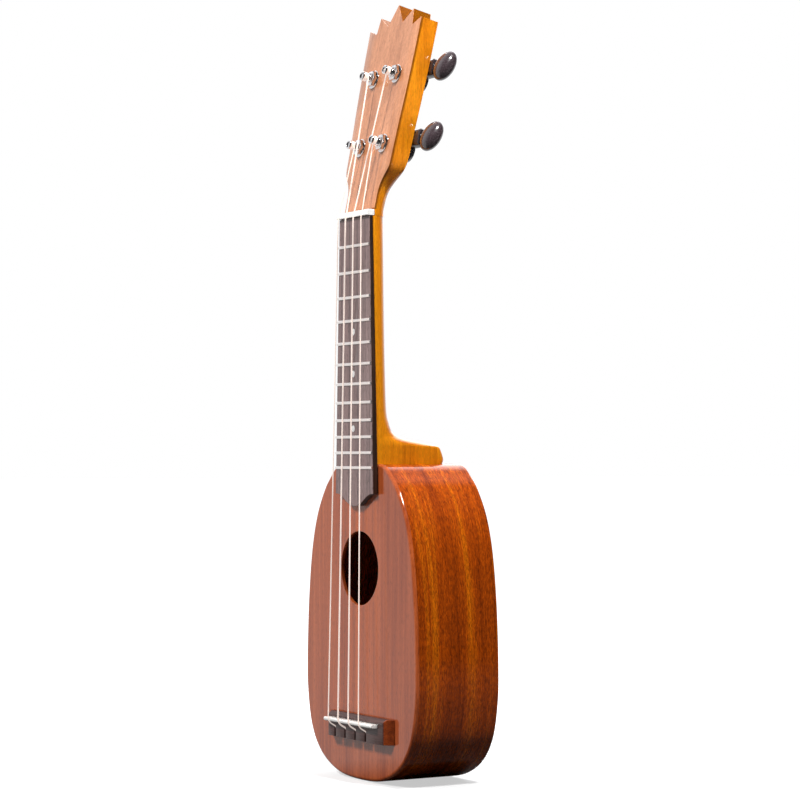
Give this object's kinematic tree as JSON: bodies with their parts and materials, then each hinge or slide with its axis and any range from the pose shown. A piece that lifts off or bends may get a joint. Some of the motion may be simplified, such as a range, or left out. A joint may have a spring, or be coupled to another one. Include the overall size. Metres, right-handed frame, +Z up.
{
  "type": "ukulele",
  "caption": "Soprano ukulele with a tapered oval body, a round soundhole, a five-point crowned headstock and geared tuners with oval buttons.",
  "frame": {"origin": "on the neck's front face at the lower edge of the nut, in the middle of the neck, which is also where a wall hanger's yoke takes the instrument under the headstock", "axes": "+Z up the neck to the headstock, +Y from the soundboard to the back, +X to the right of somebody who faces the strings"},
  "size_m": [0.1522, 0.0782, 0.5383],
  "materials": {
    "mahogany_top": "gloss lacquer, pinkish brown",
    "mahogany_body": "gloss lacquer, deep orange brown",
    "mahogany_neck": "gloss lacquer, golden amber",
    "spruce": "bare",
    "rosewood_board": "oiled",
    "rosewood_bridge": "satin",
    "bone": "polished ivory white",
    "fret_wire": "polished nickel silver",
    "pearl_dot": "pearl white",
    "nylon": "clear white nylon",
    "black_housing": "black nickel",
    "chrome": "polished",
    "steel_shaft": "turned",
    "black_button": "polished near-black"
  },
  "bodies": {
    "instrument": {"soundboard": "mahogany_top", "back": "mahogany_body", "side_left": "mahogany_body", "side_right": "mahogany_body", "neck_block": "spruce", "tail_block": "spruce", "lining_top_left": "spruce", "lining_top_right": "spruce", "lining_back_left": "spruce", "lining_back_right": "spruce", "brace_top_upper": "spruce", "brace_top_lower": "spruce", "brace_back_upper": "spruce", "brace_back_lower": "spruce", "bridge_plate": "spruce", "neck": "mahogany_neck", "fretboard": "rosewood_board", "nut": "bone", "fret_01": "fret_wire", "fret_02": "fret_wire", "fret_03": "fret_wire", "fret_04": "fret_wire", "fret_05": "fret_wire", "fret_06": "fret_wire", "fret_07": "fret_wire", "fret_08": "fret_wire", "fret_09": "fret_wire", "fret_10": "fret_wire", "fret_11": "fret_wire", "fret_12": "fret_wire", "position_dot_5": "pearl_dot", "position_dot_7": "pearl_dot", "position_dot_10": "pearl_dot", "bridge": "rosewood_bridge", "saddle": "bone", "string_g": "nylon", "string_c": "nylon", "string_e": "nylon", "string_a": "nylon", "tuner_housing_g": "black_housing", "bushing_g": "chrome", "tuner_housing_c": "black_housing", "bushing_c": "chrome", "tuner_housing_e": "black_housing", "bushing_e": "chrome", "tuner_housing_a": "black_housing", "bushing_a": "chrome"},
    "key_g": {"worm_shaft_g": "steel_shaft", "button_g": "black_button"},
    "post_g": {"string_post_g": "chrome"},
    "key_c": {"worm_shaft_c": "steel_shaft", "button_c": "black_button"},
    "post_c": {"string_post_c": "chrome"},
    "key_e": {"worm_shaft_e": "steel_shaft", "button_e": "black_button"},
    "post_e": {"string_post_e": "chrome"},
    "key_a": {"worm_shaft_a": "steel_shaft", "button_a": "black_button"},
    "post_a": {"string_post_a": "chrome"}
  },
  "joints": [
    {"name": "key_g_turn", "type": "hinge", "parent": "instrument", "child": "key_g", "pos_m": [-0.0156, 0.02957, 0.05375], "axis": [1, 0, 0], "continuous": true},
    {"name": "post_g_turn", "type": "hinge", "parent": "instrument", "child": "post_g", "pos_m": [-0.0156, 0.02338, 0.04794], "axis": [0, -0.9767, 0.2147], "continuous": true},
    {"name": "key_c_turn", "type": "hinge", "parent": "instrument", "child": "key_c", "pos_m": [-0.0156, 0.04035, 0.10277], "axis": [1, 0, 0], "continuous": true},
    {"name": "post_c_turn", "type": "hinge", "parent": "instrument", "child": "post_c", "pos_m": [-0.0156, 0.03416, 0.09697], "axis": [0, -0.9767, 0.2147], "continuous": true},
    {"name": "key_e_turn", "type": "hinge", "parent": "instrument", "child": "key_e", "pos_m": [0.0156, 0.04035, 0.10277], "axis": [1, 0, 0], "continuous": true},
    {"name": "post_e_turn", "type": "hinge", "parent": "instrument", "child": "post_e", "pos_m": [0.0156, 0.03416, 0.09697], "axis": [0, -0.9767, 0.2147], "continuous": true},
    {"name": "key_a_turn", "type": "hinge", "parent": "instrument", "child": "key_a", "pos_m": [0.0156, 0.02957, 0.05375], "axis": [1, 0, 0], "continuous": true},
    {"name": "post_a_turn", "type": "hinge", "parent": "instrument", "child": "post_a", "pos_m": [0.0156, 0.02338, 0.04794], "axis": [0, -0.9767, 0.2147], "continuous": true}
  ],
  "couplings": [
    {"joint": "post_g_turn", "follows": "key_g_turn", "ratio": -0.083333},
    {"joint": "post_c_turn", "follows": "key_c_turn", "ratio": -0.083333},
    {"joint": "post_e_turn", "follows": "key_e_turn", "ratio": 0.083333},
    {"joint": "post_a_turn", "follows": "key_a_turn", "ratio": 0.083333}
  ]
}
